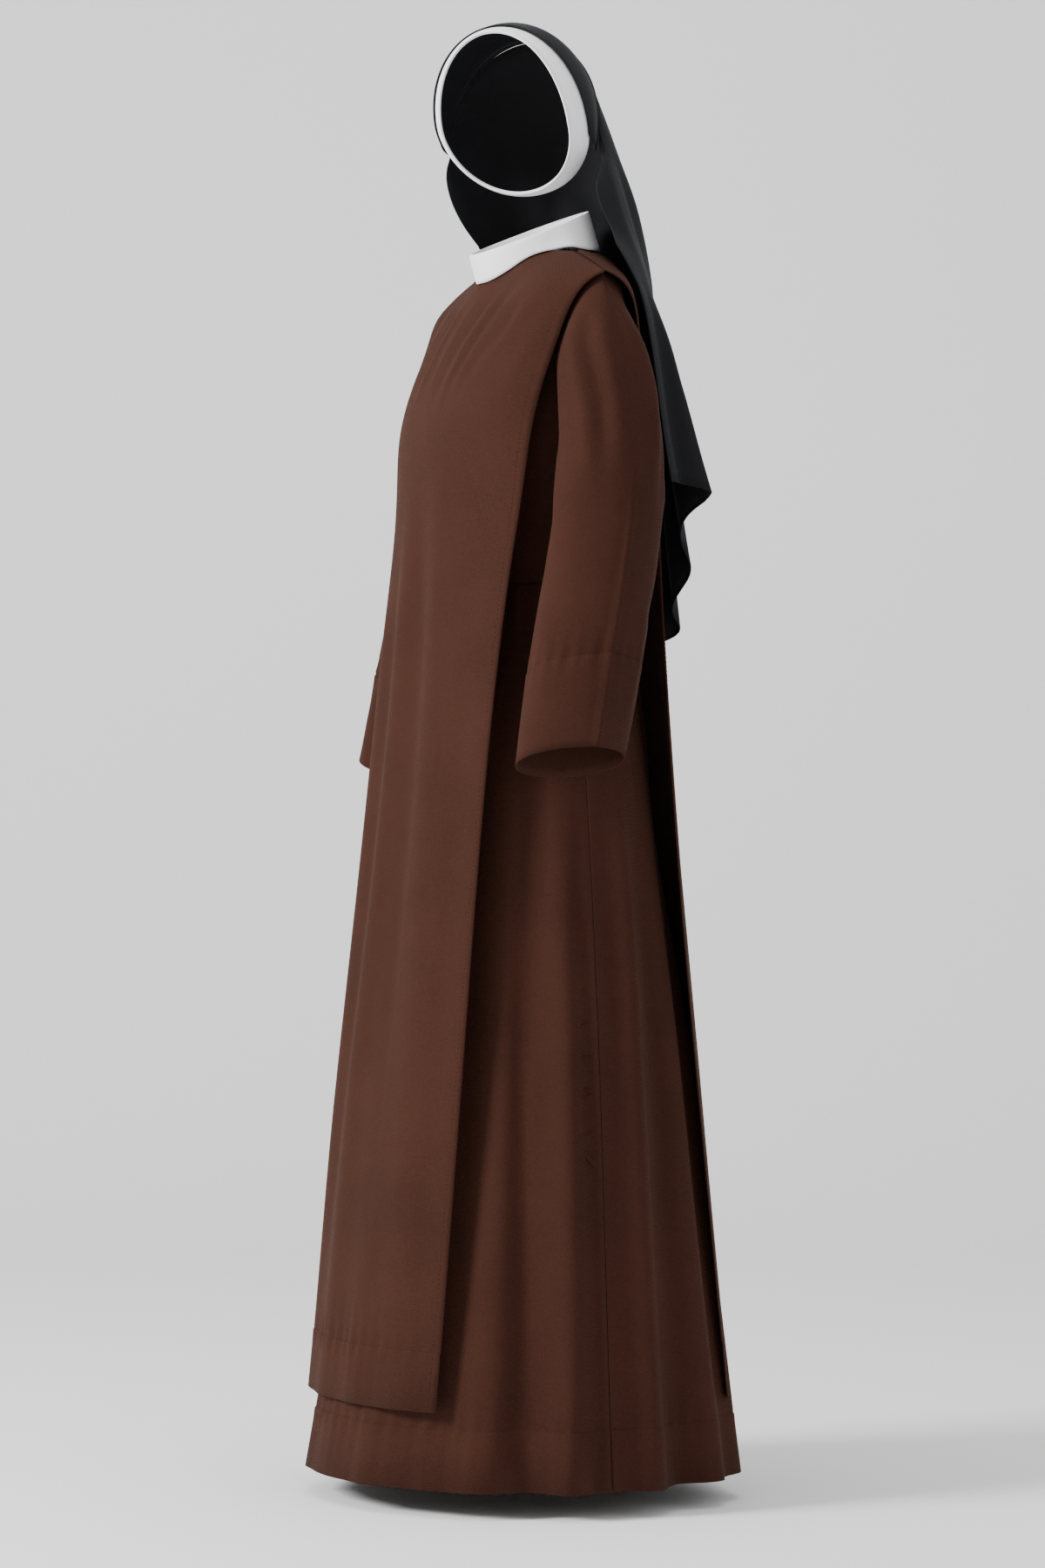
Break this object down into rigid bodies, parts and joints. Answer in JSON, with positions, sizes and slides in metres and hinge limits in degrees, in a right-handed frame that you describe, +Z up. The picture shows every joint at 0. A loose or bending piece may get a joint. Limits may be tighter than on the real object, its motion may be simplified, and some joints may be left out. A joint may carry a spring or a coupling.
{
  "type": "nun habit",
  "caption": "Full-length brown habit as worn: gathered tunic with wide sleeves, long scapular panels, white standing collar, white headband and black veil.",
  "frame": {"origin": "middle of the shoulder line, level with the tips of the shoulders' tops, 1.400 m above the floor that the wearer stands on", "axes": "+Z up, -Y the way the wearer's body faces, +X the wearer's left; the head pieces are turned 43 degrees from -Y toward +X"},
  "size_m": [0.5946, 0.4726, 1.6544],
  "materials": {
    "bodice_front": "matte, fine plain weave, warm brown",
    "bodice_back": "matte, fine plain weave, warm brown",
    "skirt_front": "matte, fine plain weave, warm brown",
    "skirt_back": "matte, fine plain weave, warm brown",
    "sleeve_left": "matte, fine plain weave, warm brown",
    "sleeve_right": "matte, fine plain weave, warm brown",
    "scapular_front": "matte, fine plain weave, warm brown",
    "scapular_back": "matte, fine plain weave, warm brown",
    "collar": "matte, smooth white cotton, doubled",
    "headband": "matte, smooth white cotton, doubled",
    "veil_crown": "matte, light black weave",
    "veil_fall": "matte, light black weave"
  },
  "bodies": {
    "root": {"bodice_front": "bodice_front", "bodice_back": "bodice_back", "skirt_front": "skirt_front", "skirt_back": "skirt_back", "sleeve_left": "sleeve_left", "sleeve_right": "sleeve_right", "scapular_front": "scapular_front", "scapular_back": "scapular_back", "collar": "collar", "headband": "headband", "veil_crown": "veil_crown", "veil_fall": "veil_fall"}
  },
  "joints": []
}
